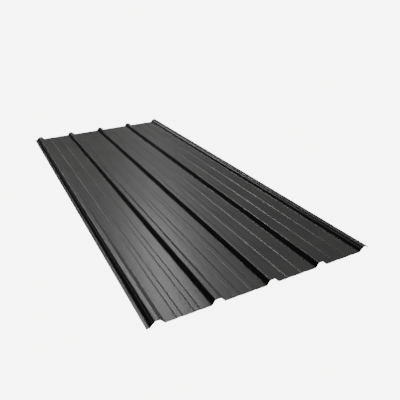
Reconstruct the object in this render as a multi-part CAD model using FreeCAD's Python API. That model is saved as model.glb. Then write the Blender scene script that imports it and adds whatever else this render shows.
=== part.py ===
import FreeCAD, Part
import math
import os

# Ribbed steel roofing sheet, one roll-formed piece, lying on its pans.
# X runs across the ribs, Y along them and Z up.
# The origin lies on the floor, under the middle of the sheet.

# The sheet
sheet_length = 2438.4     # 8 ft, along the ribs
sheet_thickness = 0.5     # painted steel, about 26 gauge

# The main ribs
rib_count = 5
rib_pitch = 228.6         # 9 in between the middles of two ribs
rib_height = 19.05        # 3/4 in from pan to crown
rib_base = 52.0           # between the two flanks, where their lines meet the pan
foot_bend = 6.5           # inner radius, pan to flank
shoulder_width = 22.4     # between the two shoulders, where a flank turns in to the crown
shoulder_drop = 0.75      # how far the crown falls off to its shoulders
shoulder_bend = 2.5
crown_fall = 3.2          # how far in from each shoulder the flat top starts
crown_bend = 5.0

# The two low stiffening ribs in each pan
low_rib_spread = 67.0     # between the middles of the two
low_rib_height = 1.1
low_rib_base = 26.4
low_rib_crown = 17.2
low_rib_bend = 4.0        # inner radius of its four bends

# The side laps, where the last rib covers the first rib of the next sheet
ledge_depth = 4.05        # from the crown down to the upper edge of a ledge in the left flank
ledge_inset = 0.8         # how far that edge lies inside the shoulder
ledge_run = 6.6           # across the ledge
ledge_drop = 3.7          # from its upper edge down to its lower one
ledge_bend = 2.0
ledge_step = 2.8          # how much further in the crown starts above a ledge
underlap_lip = 14.0       # flat strip outside the first rib's left flank
leg_ease = 2.0            # extra crown width on the leg's side
leg_drop = 10.5           # from the crown down to the end of the leg
leg_reach = 4.0           # how far the end of the leg stands out from its top


def low_rib(middle):
    # four corners of the underside, left to right, each with its inner bend radius
    half = [(low_rib_base / 2, 0.0), (low_rib_crown / 2, low_rib_height)]
    left = [(middle - x, z, low_rib_bend) for x, z in half]
    right = [(middle + x, z, low_rib_bend) for x, z in half[::-1]]
    return left + right


def main_rib(middle, laps):
    # foot, shoulder and edge of the flat crown on each side
    half = [
        (rib_base / 2, 0.0, foot_bend),
        (shoulder_width / 2, rib_height - shoulder_drop, shoulder_bend),
        (shoulder_width / 2 - crown_fall, rib_height, crown_bend),
    ]
    left = [(-x, z, radius) for x, z, radius in half]
    if laps:
        high = (ledge_inset - shoulder_width / 2, rib_height - ledge_depth, ledge_bend)
        low = (high[0] - ledge_run, high[1] - ledge_drop, ledge_bend)
        left = left[:1] + [low, high] + [(x + ledge_step, z, radius) for x, z, radius in left[1:]]
    return [(middle + x, z, radius) for x, z, radius in left + half[::-1]]


def underside_corners():
    # the whole underside from the underlap lip to the end of the overlap leg
    first = main_rib(0.0, True)
    lip_edge = (first[0][0] - underlap_lip, 0.0, 0.0)
    corners = [lip_edge] + first
    for number in range(1, rib_count):
        middle = number * rib_pitch
        pan_middle = middle - rib_pitch / 2
        corners += low_rib(pan_middle - low_rib_spread / 2)
        corners += low_rib(pan_middle + low_rib_spread / 2)
        corners += main_rib(middle, number == rib_count - 1)
    # the last rib has a short leg in place of its right flank, a little further out
    crown_end, leg_top = [(x + leg_ease, z, radius) for x, z, radius in corners[-3:-1]]
    leg_end = (leg_top[0] + leg_reach, rib_height - leg_drop, 0.0)
    return corners[:-3] + [crown_end, leg_top, leg_end]


def direction(start, end):
    return FreeCAD.Vector(end[0] - start[0], 0, end[1] - start[1]).normalize()


def upward(along):
    # the sheet's thickness points this way where its section runs along the given direction
    return FreeCAD.Vector(-along.z, 0, along.x)


def face_edges(corners, lift):
    # lines and tangent arcs of one face of the sheet, lifted off the underside
    start = FreeCAD.Vector(corners[0][0], 0, corners[0][1])
    start += upward(direction(corners[0], corners[1])) * lift
    edges = []
    for before, corner, after in zip(corners, corners[1:], corners[2:]):
        come, leave = direction(before, corner), direction(corner, after)
        turn = come.getAngle(leave)
        to_left = 1 if upward(come).dot(leave) > 0 else -1
        # the underside lies outside a bend to the left, so it has the larger radius there
        radius = corner[2] + (sheet_thickness if to_left > 0 else 0.0)
        reach = radius * math.tan(turn / 2)
        point = FreeCAD.Vector(corner[0], 0, corner[1])
        centre = point - come * reach + upward(come) * (radius * to_left)
        lifted = radius - lift * to_left
        arc_start = point - come * reach + upward(come) * lift
        arc_end = point + leave * reach + upward(leave) * lift
        arc_middle = centre + (point - centre).normalize() * lifted
        edges.append(Part.LineSegment(start, arc_start).toShape())
        edges.append(Part.Arc(arc_start, arc_middle, arc_end).toShape())
        start = arc_end
    last = FreeCAD.Vector(corners[-1][0], 0, corners[-1][1])
    end = last + upward(direction(corners[-2], corners[-1])) * lift
    edges.append(Part.LineSegment(start, end).toShape())
    return edges, end


def sheet_section():
    corners = underside_corners()
    underside, underside_end = face_edges(corners, 0.0)
    top, top_end = face_edges(corners, sheet_thickness)
    lip_cut = Part.LineSegment(underside[0].Vertexes[0].Point, top[0].Vertexes[0].Point).toShape()
    leg_cut = Part.LineSegment(underside_end, top_end).toShape()
    outline = Part.Wire(underside + [leg_cut] + top[::-1] + [lip_cut])
    return Part.Face(outline)


def ribbed_sheet():
    sheet = sheet_section().extrude(FreeCAD.Vector(0, sheet_length, 0))
    box = sheet.BoundBox
    sheet.translate(FreeCAD.Vector(-box.Center.x, -box.Center.y, -box.ZMin))
    return sheet


os.makedirs("parts", exist_ok=True)
sheet = ribbed_sheet()
sheet.exportStep("parts/ribbed_sheet.step")
print("box", sheet.BoundBox, "volume", round(sheet.Volume), "valid", sheet.isValid())
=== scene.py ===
import math

import bpy
from mathutils import Matrix, Vector


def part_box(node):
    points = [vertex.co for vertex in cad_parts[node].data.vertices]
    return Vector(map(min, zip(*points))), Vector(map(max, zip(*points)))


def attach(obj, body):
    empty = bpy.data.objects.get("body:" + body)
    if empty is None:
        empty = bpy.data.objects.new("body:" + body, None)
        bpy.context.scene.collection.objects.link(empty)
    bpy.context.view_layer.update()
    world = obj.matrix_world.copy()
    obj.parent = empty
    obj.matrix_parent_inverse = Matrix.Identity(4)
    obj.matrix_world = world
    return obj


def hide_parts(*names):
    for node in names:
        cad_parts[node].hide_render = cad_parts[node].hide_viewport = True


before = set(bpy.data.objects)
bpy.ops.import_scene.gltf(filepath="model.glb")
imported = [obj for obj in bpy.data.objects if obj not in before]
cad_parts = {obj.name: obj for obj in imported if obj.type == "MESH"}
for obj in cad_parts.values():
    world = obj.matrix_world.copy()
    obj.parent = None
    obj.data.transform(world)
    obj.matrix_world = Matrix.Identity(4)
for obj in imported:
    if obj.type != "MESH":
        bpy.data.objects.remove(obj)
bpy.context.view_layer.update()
sheetLow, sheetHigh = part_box("ribbed_sheet")
print("frame loaded, sheet", [round(high - low, 4) for low, high in zip(sheetLow, sheetHigh)], "m")

mmPerMetre = 1000


def toLinear(hexColour):
    # sRGB hex as a paint card gives it, turned to the linear values that the shaders need
    parts = [int(hexColour[i:i + 2], 16) / 255 for i in (1, 3, 5)]
    return tuple(v / 12.92 if v <= 0.04045 else ((v + 0.055) / 1.055) ** 2.4 for v in parts) + (1.0,)


def addNode(tree, kind, inputs=None, **settings):
    # one node with its settings, and its inputs either set or linked to another node's socket
    node = tree.nodes.new(kind)
    for name, value in settings.items():
        setattr(node, name, value)
    for key, value in (inputs or {}).items():
        socket = node.inputs[key]
        if isinstance(value, bpy.types.NodeSocket):
            tree.links.new(value, socket)
        else:
            socket.default_value = value
    return node


def newMaterial(name):
    material = bpy.data.materials.new(name)
    material.use_nodes = True
    material.node_tree.nodes.clear()
    return material, material.node_tree


# The section as the roll former leaves it, in millimetres
section = {
    "thickness": 0.5,
    "ribs": 5, "pitch": 228.6,
    "ribHeight": 19.05, "ribBase": 52.0, "footBend": 6.5,
    "shoulder": 22.4, "shoulderDrop": 0.75, "shoulderBend": 2.5,
    "crownFall": 3.2, "crownBend": 5.0,
    "crownLean": 0.3,     # the first rib's crown leans to the pan and so shines; it is level in the solid
    "lowSpread": 67.0, "lowHeight": 1.1, "lowBase": 26.4, "lowCrown": 17.2,
    "lowBend": 8.0,       # twice the solid's, for hairlines as soft as the photo's
    "lip": 14.0,
    "ledgeDepth": 4.05, "ledgeInset": 0.8, "ledgeRun": 6.6, "ledgeDrop": 3.7,
    "ledgeBend": 2.0, "ledgeStep": 2.8,
    "legEase": 2.0, "legDrop": 10.5, "legReach": 4.0,
    "bendSteps": 6,       # short flats that a bend is made of
    "flatStep": 12.0,     # longest stretch between two points of a flat
    "flatEnd": 0.4,       # last stretch of a flat, so that its shading stays flat up to the bend
}


def lowCorners(middle, s):
    # a low rib has two corners on each side
    half = [(s["lowBase"] / 2, 0.0), (s["lowCrown"] / 2, s["lowHeight"])]
    return ([(middle - x, z, s["lowBend"]) for x, z in half]
            + [(middle + x, z, s["lowBend"]) for x, z in reversed(half)])


def ribCorners(middle, s, lap, lean):
    # a main rib's crown falls off a little before it turns into the flank
    half = [(s["ribBase"] / 2, 0.0, s["footBend"]),
            (s["shoulder"] / 2, s["ribHeight"] - s["shoulderDrop"], s["shoulderBend"]),
            (s["shoulder"] / 2 - s["crownFall"], s["ribHeight"], s["crownBend"])]
    left = [(-x, z, bend) for x, z, bend in half]
    right = half[::-1]
    if lap:
        # the two outer ribs have a ledge in the left flank, so their crown starts further in
        high = (s["ledgeInset"] - s["shoulder"] / 2, s["ribHeight"] - s["ledgeDepth"], s["ledgeBend"])
        low = (high[0] - s["ledgeRun"], high[1] - s["ledgeDrop"], s["ledgeBend"])
        left = left[:1] + [low, high] + [(x + s["ledgeStep"], z, bend) for x, z, bend in left[1:]]
    left[-2:] = [(x, z + lean, bend) for x, z, bend in left[-2:]]
    right[:2] = [(x, z - lean, bend) for x, z, bend in right[:2]]
    return [(middle + x, z, bend) for x, z, bend in left + right]


def sectionCorners(s):
    # where the flats would meet, left to right along the underside, each with its inner bend radius
    corners = []
    for number in range(s["ribs"]):
        middle = number * s["pitch"]
        if number:
            for side in (-1, 1):
                corners += lowCorners(middle - s["pitch"] / 2 + side * s["lowSpread"] / 2, s)
        lap = number in (0, s["ribs"] - 1)
        corners += ribCorners(middle, s, lap, lean=0.0 if number else s["crownLean"])
    lipEdge = (corners[0][0] - s["lip"], 0.0, 0.0)
    # the last rib has a short leg in place of its right flank, a little further out
    crownEnd, legTop = [(x + s["legEase"], z, bend) for x, z, bend in corners[-3:-1]]
    legEdge = (legTop[0] + s["legReach"], s["ribHeight"] - s["legDrop"], 0.0)
    return [lipEdge] + corners[:-3] + [crownEnd, legTop, legEdge]


def sectionPoints(s):
    # underside point, the direction from it to the painted face, and how free the sheet is to ripple there
    corners = sectionCorners(s)
    points = []

    def flat(start, end, across):
        length = (end - start).length
        count = max(1, math.ceil(length / s["flatStep"]))
        onPan = max(start.y, end.y) < s["lowHeight"] / 2
        wide = 1.0 if onPan and length > 2 * s["flatStep"] else 0.0
        steps = [i / count for i in range(count + 1)]
        if length > 4 * s["flatEnd"]:
            steps[1:1] = [s["flatEnd"] / length]
            steps[-1:-1] = [1 - s["flatEnd"] / length]
        for step in steps:
            points.append((start.lerp(end, step), across, wide * math.sin(math.pi * step) ** 2))

    at = Vector(corners[0][:2])
    for before, corner, after in zip(corners, corners[1:], corners[2:]):
        point = Vector(corner[:2])
        come = (point - Vector(before[:2])).normalized()
        leave = (Vector(after[:2]) - point).normalized()
        upCome, upLeave = Vector((-come.y, come.x)), Vector((-leave.y, leave.x))
        side = 1 if upCome.dot(leave) > 0 else -1
        turn = math.acos(max(-1.0, min(1.0, come.dot(leave))))
        radius = corner[2] + (s["thickness"] if side > 0 else 0.0)
        reach = radius * math.tan(turn / 2)
        start = point - come * reach
        centre = start + upCome * (radius * side)
        flat(at, start, upCome)
        for i in range(1, s["bendSteps"]):
            turned = Matrix.Rotation(side * turn * i / s["bendSteps"], 2)
            points.append((centre + turned @ (start - centre), turned @ upCome, 0.0))
        at = point + leave * reach
    flat(at, Vector(corners[-1][:2]), upLeave)
    return points


def sectionMesh(s):
    # the section as one row of points, moved to where the frame has the sheet
    points = sectionPoints(s)
    left = min(p.x for p, up, loose in points)
    shift = sheetLow.x * mmPerMetre - left
    row = [((p.x + shift) / mmPerMetre, 0.0, p.y / mmPerMetre) for p, up, loose in points]
    mesh = bpy.data.meshes.new("section")
    mesh.from_pydata(row, [], [])
    lift = s["thickness"] / mmPerMetre
    toFace = mesh.attributes.new("toPaintedFace", "FLOAT_VECTOR", "POINT")
    toFace.data.foreach_set("vector", [v for p, up, loose in points for v in (up.x * lift, 0.0, up.y * lift)])
    freedom = mesh.attributes.new("loose", "FLOAT", "POINT")
    freedom.data.foreach_set("value", [loose for p, up, loose in points])
    return mesh


# Charcoal polyester coil coating, roller-laid and oven-cured.
# To the eye it is a smooth, slightly soft sheen with a very fine grain.
coat = {
    "colour": "#393939", "paler": "#424241",
    "palerFrom": 0.45, "palerTo": 1.05,         # tones of the noise between which the paler colour comes in
    "roughness": 0.318, "glossier": 0.02, "duller": 0.025,
    "roughFrom": 0.4, "roughTo": 1.1,
    "ior": 1.5,
    "cloudMm": 200.0,                           # slow drift of tone along and across the sheet
    "lineMm": 6.25, "lineStretch": 0.02,        # the rollers' lines, really about 1 mm wide, coarser to show
    "lineShare": 0.5,
    "grainMm": 1.6, "grainDepthMm": 0.004,      # the paint's grain, really about 0.5 mm, coarser to show
    "grainStrength": 0.6,
}


def coilCoating():
    material, tree = newMaterial("coil_coated_steel_charcoal")
    place = addNode(tree, "ShaderNodeTexCoord").outputs["Object"]
    along = addNode(tree, "ShaderNodeMapping",
                    {"Vector": place, "Scale": (1.0, coat["lineStretch"], 1.0)}).outputs["Vector"]
    cloud = addNode(tree, "ShaderNodeTexNoise",
                    {"Vector": place, "Scale": mmPerMetre / coat["cloudMm"], "Detail": 3.0}).outputs["Fac"]
    lines = addNode(tree, "ShaderNodeTexNoise",
                    {"Vector": along, "Scale": mmPerMetre / coat["lineMm"], "Detail": 3.0,
                     "Roughness": 0.6}).outputs["Fac"]
    tone = addNode(tree, "ShaderNodeMath", {0: lines, 1: coat["lineShare"], 2: cloud},
                   operation="MULTIPLY_ADD").outputs[0]
    share = addNode(tree, "ShaderNodeMapRange",
                    {"Value": tone, "From Min": coat["palerFrom"],
                     "From Max": coat["palerTo"]}).outputs["Result"]
    colour = addNode(tree, "ShaderNodeMix",
                     {"Factor": share, "A": toLinear(coat["colour"]), "B": toLinear(coat["paler"])},
                     data_type="RGBA").outputs[2]
    rough = addNode(tree, "ShaderNodeMapRange",
                    {"Value": tone, "From Min": coat["roughFrom"], "From Max": coat["roughTo"],
                     "To Min": coat["roughness"] - coat["glossier"],
                     "To Max": coat["roughness"] + coat["duller"]}).outputs["Result"]
    grain = addNode(tree, "ShaderNodeTexNoise",
                    {"Vector": place, "Scale": mmPerMetre / coat["grainMm"]}).outputs["Fac"]
    bump = addNode(tree, "ShaderNodeBump",
                   {"Height": grain, "Strength": coat["grainStrength"],
                    "Distance": coat["grainDepthMm"] / mmPerMetre}).outputs["Normal"]
    shader = addNode(tree, "ShaderNodeBsdfPrincipled",
                     {"Base Color": colour, "Roughness": rough, "IOR": coat["ior"], "Normal": bump})
    addNode(tree, "ShaderNodeOutputMaterial", {"Surface": shader.outputs[0]})
    return material


# Backer coat, a thin wash of polyester rolled on the hidden side: dull grey to the eye, without a sheen
backer = {
    "colour": "#2F3030", "thin": "#3A3B3B",
    "roughness": 0.55, "ior": 1.48,
    "lineMm": 11.11, "lineStretch": 0.03,       # the rollers' lines, really about 1 mm wide, coarser to show
    "grainMm": 2.5, "grainDepthMm": 0.006,      # the wash's grain, really under 1 mm, coarser to show
    "grainStrength": 0.6,
}


def backerCoating():
    material, tree = newMaterial("backer_coat_grey")
    place = addNode(tree, "ShaderNodeTexCoord").outputs["Object"]
    along = addNode(tree, "ShaderNodeMapping",
                    {"Vector": place, "Scale": (1.0, backer["lineStretch"], 1.0)}).outputs["Vector"]
    lines = addNode(tree, "ShaderNodeTexNoise",
                    {"Vector": along, "Scale": mmPerMetre / backer["lineMm"], "Detail": 4.0,
                     "Roughness": 0.6}).outputs["Fac"]
    colour = addNode(tree, "ShaderNodeMix",
                     {"Factor": lines, "A": toLinear(backer["colour"]), "B": toLinear(backer["thin"])},
                     data_type="RGBA").outputs[2]
    grain = addNode(tree, "ShaderNodeTexNoise",
                    {"Vector": place, "Scale": mmPerMetre / backer["grainMm"]}).outputs["Fac"]
    bump = addNode(tree, "ShaderNodeBump",
                   {"Height": grain, "Strength": backer["grainStrength"],
                    "Distance": backer["grainDepthMm"] / mmPerMetre}).outputs["Normal"]
    shader = addNode(tree, "ShaderNodeBsdfPrincipled",
                     {"Base Color": colour, "Roughness": backer["roughness"], "IOR": backer["ior"],
                      "Normal": bump})
    addNode(tree, "ShaderNodeOutputMaterial", {"Surface": shader.outputs[0]})
    return material


# Sheared edge: bare steel with its zinc dragged over it, which catches the light as a hairline
edge = {
    "colour": "#8C8F91", "dull": "#6B6C6C", "roughness": 0.42,
    "dragMm": 0.8,        # the drag marks, really about 0.1 mm, coarser to show
}


def shearedEdge():
    material, tree = newMaterial("sheared_galvanised_steel")
    place = addNode(tree, "ShaderNodeTexCoord").outputs["Object"]
    drag = addNode(tree, "ShaderNodeTexNoise",
                   {"Vector": place, "Scale": mmPerMetre / edge["dragMm"]}).outputs["Fac"]
    colour = addNode(tree, "ShaderNodeMix",
                     {"Factor": drag, "A": toLinear(edge["dull"]), "B": toLinear(edge["colour"])},
                     data_type="RGBA").outputs[2]
    shader = addNode(tree, "ShaderNodeBsdfPrincipled",
                     {"Base Color": colour, "Metallic": 1.0, "Roughness": edge["roughness"]})
    addNode(tree, "ShaderNodeOutputMaterial", {"Surface": shader.outputs[0]})
    return material


# The sheet along its length: rows of points, and how far it lies off flat
sheet = {
    "rows": 76,
    "bowMm": 0.6, "bowWave": 1.3,               # slow bow of the whole sheet, and its waves per metre
    "rippleMm": 0.35, "rippleWave": 4.2,        # ripple of the pans, which are free between the ribs
    "seed": 7.0,
    "mergeMm": 0.01,                            # points closer than this are one
    "sharpDegrees": 40.0,                       # only the sheared edges are sharper than this
    "facing": 0.1,                              # a face turned less than this up or down is a sheared edge
}


def sheetNodes():
    # a grid as wide as the section has points and as long as the sheet, bent to the section and thickened
    tree = bpy.data.node_groups.new("rollFormedSheet", "GeometryNodeTree")
    sockets = {
        "Geometry": "NodeSocketGeometry", "Length": "NodeSocketFloat", "Rows": "NodeSocketInt",
        "Bow": "NodeSocketFloat", "Bow Wave": "NodeSocketFloat",
        "Ripple": "NodeSocketFloat", "Ripple Wave": "NodeSocketFloat", "Seed": "NodeSocketFloat",
        "Painted Face": "NodeSocketMaterial", "Hidden Face": "NodeSocketMaterial",
        "Cut Edge": "NodeSocketMaterial",
    }
    for name, kind in sockets.items():
        tree.interface.new_socket(name, in_out="INPUT", socket_type=kind)
    tree.interface.new_socket("Geometry", in_out="OUTPUT", socket_type="NodeSocketGeometry")
    given = tree.nodes.new("NodeGroupInput").outputs
    row = given["Geometry"]
    position = addNode(tree, "GeometryNodeInputPosition").outputs[0]

    # the grid is one metre wide, which gives each of its points the number of its column
    count = addNode(tree, "GeometryNodeAttributeDomainSize", {"Geometry": row}).outputs["Point Count"]
    grid = addNode(tree, "GeometryNodeMeshGrid",
                   {"Size X": 1.0, "Size Y": given["Length"], "Vertices X": count,
                    "Vertices Y": given["Rows"]}).outputs["Mesh"]
    where = addNode(tree, "ShaderNodeSeparateXYZ", {0: position}).outputs
    last = addNode(tree, "ShaderNodeMath", {0: count, 1: 1.0}, operation="SUBTRACT").outputs[0]
    fromLeft = addNode(tree, "ShaderNodeMath", {0: where["X"], 1: 0.5}, operation="ADD").outputs[0]
    column = addNode(tree, "ShaderNodeMath", {0: fromLeft, 1: last}, operation="MULTIPLY").outputs[0]
    column = addNode(tree, "FunctionNodeFloatToInt", {0: column}, rounding_mode="ROUND").outputs[0]
    counted = addNode(tree, "GeometryNodeStoreNamedAttribute",
                      {"Geometry": grid, "Name": "column", "Value": column},
                      data_type="INT", domain="POINT").outputs[0]
    column = addNode(tree, "GeometryNodeInputNamedAttribute", {"Name": "column"}, data_type="INT").outputs[0]

    # what a point of the grid takes from the section's point of the same column
    loose = addNode(tree, "GeometryNodeInputNamedAttribute", {"Name": "loose"}, data_type="FLOAT").outputs[0]
    toFace = addNode(tree, "GeometryNodeInputNamedAttribute", {"Name": "toPaintedFace"},
                     data_type="FLOAT_VECTOR").outputs[0]
    taken = {}
    for name, value, kind in (("place", position, "FLOAT_VECTOR"), ("loose", loose, "FLOAT"),
                              ("toFace", toFace, "FLOAT_VECTOR")):
        taken[name] = addNode(tree, "GeometryNodeSampleIndex",
                              {"Geometry": row, "Value": value, "Index": column},
                              data_type=kind, domain="POINT").outputs[0]
    onSection = addNode(tree, "ShaderNodeSeparateXYZ", {0: taken["place"]}).outputs

    # the hidden face, rippled in the pans and bowed all over
    spot = addNode(tree, "ShaderNodeCombineXYZ", {"X": onSection["X"], "Y": where["Y"]}).outputs[0]
    waves = {}
    for name in ("Ripple", "Bow"):
        noise = addNode(tree, "ShaderNodeTexNoise",
                        {"Vector": spot, "W": given["Seed"], "Scale": given[name + " Wave"], "Detail": 0.0},
                        noise_dimensions="4D").outputs["Fac"]
        waves[name] = addNode(tree, "ShaderNodeMath", {0: noise, 1: given[name]},
                              operation="MULTIPLY").outputs[0]
    lift = addNode(tree, "ShaderNodeMath", {0: waves["Ripple"], 1: taken["loose"], 2: waves["Bow"]},
                   operation="MULTIPLY_ADD").outputs[0]
    height = addNode(tree, "ShaderNodeMath", {0: onSection["Z"], 1: lift}, operation="ADD").outputs[0]
    place = addNode(tree, "ShaderNodeCombineXYZ",
                    {"X": onSection["X"], "Y": where["Y"], "Z": height}).outputs[0]
    hidden = addNode(tree, "GeometryNodeSetPosition", {"Geometry": counted, "Position": place}).outputs[0]

    # the painted face stands off it by the steel's thickness, and the extruded rim is the sheared edge
    raised = addNode(tree, "GeometryNodeExtrudeMesh",
                     {"Mesh": hidden, "Offset Scale": 0.0, "Individual": False}, mode="FACES").outputs
    painted = addNode(tree, "GeometryNodeSetPosition",
                      {"Geometry": raised["Mesh"], "Selection": raised["Top"],
                       "Offset": taken["toFace"]}).outputs[0]
    turned = addNode(tree, "GeometryNodeFlipFaces", {"Mesh": hidden}).outputs[0]
    both = addNode(tree, "GeometryNodeJoinGeometry")
    for half in (painted, turned):
        tree.links.new(half, both.inputs[0])
    closed = addNode(tree, "GeometryNodeMergeByDistance",
                     {"Geometry": both.outputs[0], "Distance": sheet["mergeMm"] / mmPerMetre}).outputs[0]

    bend = addNode(tree, "GeometryNodeInputMeshEdgeAngle").outputs["Unsigned Angle"]
    soft = addNode(tree, "FunctionNodeCompare", {0: bend, 1: math.radians(sheet["sharpDegrees"])},
                   data_type="FLOAT", operation="LESS_THAN").outputs[0]
    smooth = addNode(tree, "GeometryNodeSetShadeSmooth", {"Geometry": closed, "Shade Smooth": True},
                     domain="FACE").outputs[0]
    smooth = addNode(tree, "GeometryNodeSetShadeSmooth", {"Geometry": smooth, "Shade Smooth": soft},
                     domain="EDGE").outputs[0]
    real = addNode(tree, "GeometryNodeRealizeInstances", {"Geometry": smooth}).outputs[0]

    normal = addNode(tree, "GeometryNodeInputNormal").outputs[0]
    facing = addNode(tree, "ShaderNodeSeparateXYZ", {0: normal}).outputs["Z"]
    up = addNode(tree, "FunctionNodeCompare", {0: facing, 1: sheet["facing"]},
                 data_type="FLOAT", operation="GREATER_THAN").outputs[0]
    down = addNode(tree, "FunctionNodeCompare", {0: facing, 1: -sheet["facing"]},
                   data_type="FLOAT", operation="LESS_THAN").outputs[0]
    dressed = addNode(tree, "GeometryNodeSetMaterial",
                      {"Geometry": real, "Material": given["Cut Edge"]}).outputs[0]
    for side, face in ((up, "Painted Face"), (down, "Hidden Face")):
        dressed = addNode(tree, "GeometryNodeSetMaterial",
                          {"Geometry": dressed, "Selection": side, "Material": given[face]}).outputs[0]
    addNode(tree, "NodeGroupOutput", {0: dressed})
    return tree


def plainMesh(source, name):
    # the modifier's result as a mesh of its own, on an object at the origin
    evaluated = source.evaluated_get(bpy.context.evaluated_depsgraph_get())
    mesh = bpy.data.meshes.new_from_object(evaluated)
    mesh.name = name
    for attribute in ("column", "loose", "toPaintedFace"):
        if attribute in mesh.attributes:
            mesh.attributes.remove(mesh.attributes[attribute])
    # the grid brings an empty slot of its own, which is left out
    slots = [i for i, material in enumerate(mesh.materials) if material]
    materials = [mesh.materials[i] for i in slots]
    newIndex = [slots.index(face.material_index) for face in mesh.polygons]
    mesh.materials.clear()
    for material in materials:
        mesh.materials.append(material)
    mesh.polygons.foreach_set("material_index", newIndex)
    made = bpy.data.objects.new(name, mesh)
    bpy.context.scene.collection.objects.link(made)
    bpy.data.objects.remove(source)
    return made


def ribbedSheet():
    row = bpy.data.objects.new("section", sectionMesh(section))
    bpy.context.scene.collection.objects.link(row)
    tree = sheetNodes()
    modifier = row.modifiers.new("rollForming", "NODES")
    modifier.node_group = tree
    values = {
        "Length": sheetHigh.y - sheetLow.y, "Rows": sheet["rows"], "Seed": sheet["seed"],
        "Bow": sheet["bowMm"] / mmPerMetre, "Bow Wave": sheet["bowWave"],
        "Ripple": sheet["rippleMm"] / mmPerMetre, "Ripple Wave": sheet["rippleWave"],
        "Painted Face": coilCoating(), "Hidden Face": backerCoating(), "Cut Edge": shearedEdge(),
    }
    for item in tree.interface.items_tree:
        if item.in_out == "INPUT" and item.name in values:
            modifier[item.identifier] = values[item.name]
    row.update_tag()
    made = plainMesh(row, "roofing_sheet")
    print("sheet made:", len(made.data.polygons), "faces,", [m.name for m in made.data.materials])
    return made


roofingSheet = ribbedSheet()
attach(roofingSheet, "root")
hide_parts("ribbed_sheet")


# Floor and light: a pale glowing studio floor on which nothing casts a shadow, as in the cut-out photo,
# one soft low key from the right, and two narrow softboxes behind the sheet for the sheen
studio = {
    "floor": "#F2F2F0", "floorBase": "#5A5A5A", "floorRoughness": 0.9, "floorGlow": 8.0, "floorHalf": 90.0,
    "wallSides": 48, "wallInset": 0.98, "wallHeight": 60.0, "wallGlow": 8.1,
    "key": {"azimuth": 48.0, "elevation": 35.0, "power": 5.0, "soft": 9.0, "far": 5.0},
    "boxes": {
        "stripRight": {"azimuth": 18.6, "low": 29.0, "high": 48.0, "width": 2.0, "power": 0.29},
        "stripLeft": {"azimuth": -8.0, "low": 22.0, "high": 40.0, "width": 6.0, "power": 0.31},
    },
    "boxFar": 60.0,
    "fill": 0.042,
}


def plainObject(name, vertices, faces, material):
    mesh = bpy.data.meshes.new(name)
    mesh.from_pydata(vertices, [], faces)
    mesh.materials.append(material)
    material.cycles.emission_sampling = "NONE"      # it lights nothing, so no ray is aimed at its glow
    made = bpy.data.objects.new(name, mesh)
    bpy.context.scene.collection.objects.link(made)
    made.visible_glossy = made.visible_diffuse = False
    return made


def paleFloor():
    material, tree = newMaterial("pale_floor")
    shader = addNode(tree, "ShaderNodeBsdfPrincipled",
                     {"Base Color": toLinear(studio["floorBase"]), "Roughness": studio["floorRoughness"],
                      "Emission Color": toLinear(studio["floor"]), "Emission Strength": studio["floorGlow"]})
    addNode(tree, "ShaderNodeOutputMaterial", {"Surface": shader.outputs[0]})
    half = studio["floorHalf"]
    plainObject("floor", [(-half, -half, 0), (half, -half, 0), (half, half, 0), (-half, half, 0)],
                [(0, 1, 2, 3)], material)


def paleWall():
    # a far pale wall for the camera alone, so that nothing of it shows in the paint
    material, tree = newMaterial("pale_wall")
    glow = addNode(tree, "ShaderNodeEmission",
                   {"Color": toLinear(studio["floor"]), "Strength": studio["wallGlow"]})
    addNode(tree, "ShaderNodeOutputMaterial", {"Surface": glow.outputs[0]})
    sides, radius = studio["wallSides"], studio["floorHalf"] * studio["wallInset"]
    turns = [2 * math.pi * i / sides for i in range(sides)]
    vertices = [(radius * math.cos(turn), radius * math.sin(turn), height)
                for height in (0.0, studio["wallHeight"]) for turn in turns]
    faces = [((i + 1) % sides, i, i + sides, (i + 1) % sides + sides) for i in range(sides)]
    ceiling = tuple(range(sides, 2 * sides))
    wall = plainObject("wall", vertices, faces + [ceiling], material)
    wall.visible_shadow = False


def hangLamp(name, lamp, azimuth, elevation, far):
    # azimuth is turned from the sheet's length towards its leg side, and the lamp points at the sheet
    towards = Vector((math.sin(azimuth) * math.cos(elevation), math.cos(azimuth) * math.cos(elevation),
                      math.sin(elevation)))
    made = bpy.data.objects.new(name, lamp)
    made.rotation_mode = "QUATERNION"
    made.rotation_quaternion = towards.to_track_quat("Z", "Y")
    made.location = towards * far
    bpy.context.scene.collection.objects.link(made)
    return made


def keySun(azimuth, elevation, power, soft, far):
    lamp = bpy.data.lights.new("key", "SUN")
    lamp.energy = power
    lamp.angle = math.radians(soft)
    made = hangLamp("key", lamp, math.radians(azimuth), math.radians(elevation), far)
    made.visible_glossy = False      # the sheen comes from the softboxes alone


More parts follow.
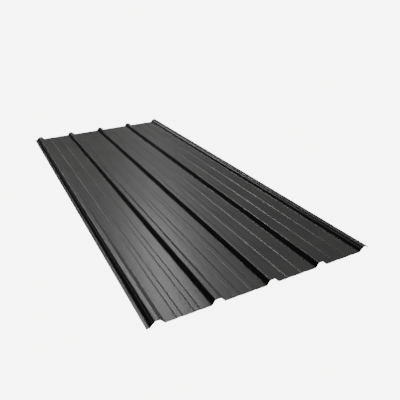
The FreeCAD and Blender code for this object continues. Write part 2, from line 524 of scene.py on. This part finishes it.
def softbox(name, azimuth, low, high, width, power):
    # a softbox far behind the sheet, seen only as a sheen on the flats and bends that face it
    far, low, high = studio["boxFar"], math.radians(low), math.radians(high)
    lamp = bpy.data.lights.new(name, "AREA")
    lamp.shape = "RECTANGLE"
    lamp.size = 2 * far * math.tan(math.radians(width / 2))
    lamp.size_y = 2 * far * math.tan((high - low) / 2)
    lamp.energy = power * math.pi * far ** 2
    made = hangLamp(name, lamp, math.radians(azimuth), (low + high) / 2, far)
    made.visible_diffuse = False


def fillLight():
    world = bpy.data.worlds.new("studio")
    world.use_nodes = True
    background = world.node_tree.nodes["Background"].inputs
    background["Color"].default_value = (1.0, 1.0, 1.0, 1.0)
    background["Strength"].default_value = studio["fill"]
    bpy.context.scene.world = world


paleFloor()
paleWall()
keySun(**studio["key"])
for name, box in studio["boxes"].items():
    softbox(name, **box)
fillLight()
print("floor and lights placed")

# Camera: stands in front of the sheet's near left corner and looks down along it, in metres and degrees
shot = {
    "place": (-0.80243, -2.37001, 1.0006),
    "yaw": 27.64, "down": 24.95, "roll": 1.82,
    "focalPixels": 454.0, "imagePixels": 400.0, "middleX": 220.0,
    "sensorMm": 36.0,
    "nearest": 0.05, "farthest": 360.0,
}


def photoCamera():
    yaw, down, roll = (math.radians(shot[angle]) for angle in ("yaw", "down", "roll"))
    ahead = Vector((math.sin(yaw) * math.cos(down), math.cos(yaw) * math.cos(down), -math.sin(down)))
    level = Vector((math.cos(yaw), -math.sin(yaw), 0.0))
    below = ahead.cross(level)
    right = level * math.cos(roll) + below * math.sin(roll)
    below = below * math.cos(roll) - level * math.sin(roll)
    lens = bpy.data.cameras.new("camera")
    lens.sensor_width = shot["sensorMm"]
    lens.lens = shot["focalPixels"] / shot["imagePixels"] * shot["sensorMm"]
    lens.shift_x = (shot["imagePixels"] / 2 - shot["middleX"]) / shot["imagePixels"]
    lens.clip_start, lens.clip_end = shot["nearest"], shot["farthest"]
    made = bpy.data.objects.new("camera", lens)
    turn = Matrix((right, -below, -ahead)).transposed().to_4x4()
    made.matrix_world = Matrix.Translation(Vector(shot["place"])) @ turn
    bpy.context.scene.collection.objects.link(made)
    bpy.context.scene.camera = made


photoCamera()
print("camera placed")
